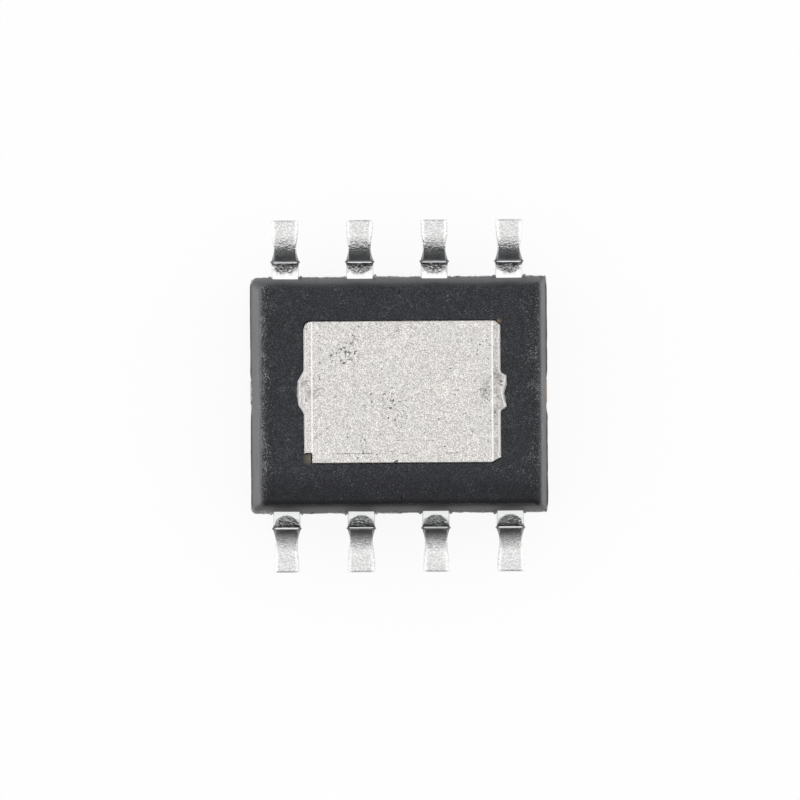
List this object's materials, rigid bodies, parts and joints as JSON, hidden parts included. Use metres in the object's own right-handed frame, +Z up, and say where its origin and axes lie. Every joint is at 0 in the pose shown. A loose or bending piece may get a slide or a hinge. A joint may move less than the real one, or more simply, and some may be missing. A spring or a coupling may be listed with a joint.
{
  "type": "battery management chip",
  "caption": "Small-outline power chip lying on its back: drafted dark mould body, exposed thermal pad, gull-wing leads, and a bonded silicon die inside.",
  "frame": {"origin": "middle of the marking face, on which the package lies", "axes": "+Z up, out of the solder side; +X along the lead rows; +Y across the body, towards leads one to four"},
  "size_m": [0.005, 0.006, 0.0015],
  "materials": {
    "mould_compound": "spark-eroded matt, mineral-filled",
    "tinned_copper": "matt electroplated tin",
    "die_cement": "silver-filled, dull",
    "silicon": "polished",
    "copper_wire": "bright drawn"
  },
  "bodies": {
    "root": {"mould_body": "mould_compound", "thermal_pad": "tinned_copper", "die_attach": "die_cement", "silicon_die": "silicon", "lead_1": "tinned_copper", "lead_2": "tinned_copper", "lead_3": "tinned_copper", "lead_4": "tinned_copper", "lead_5": "tinned_copper", "lead_6": "tinned_copper", "lead_7": "tinned_copper", "lead_8": "tinned_copper", "bond_wire_1": "copper_wire", "bond_wire_2": "copper_wire", "bond_wire_3": "copper_wire", "bond_wire_4": "copper_wire", "bond_wire_5": "copper_wire", "bond_wire_6": "copper_wire", "bond_wire_7": "copper_wire", "bond_wire_8": "copper_wire"}
  },
  "joints": []
}
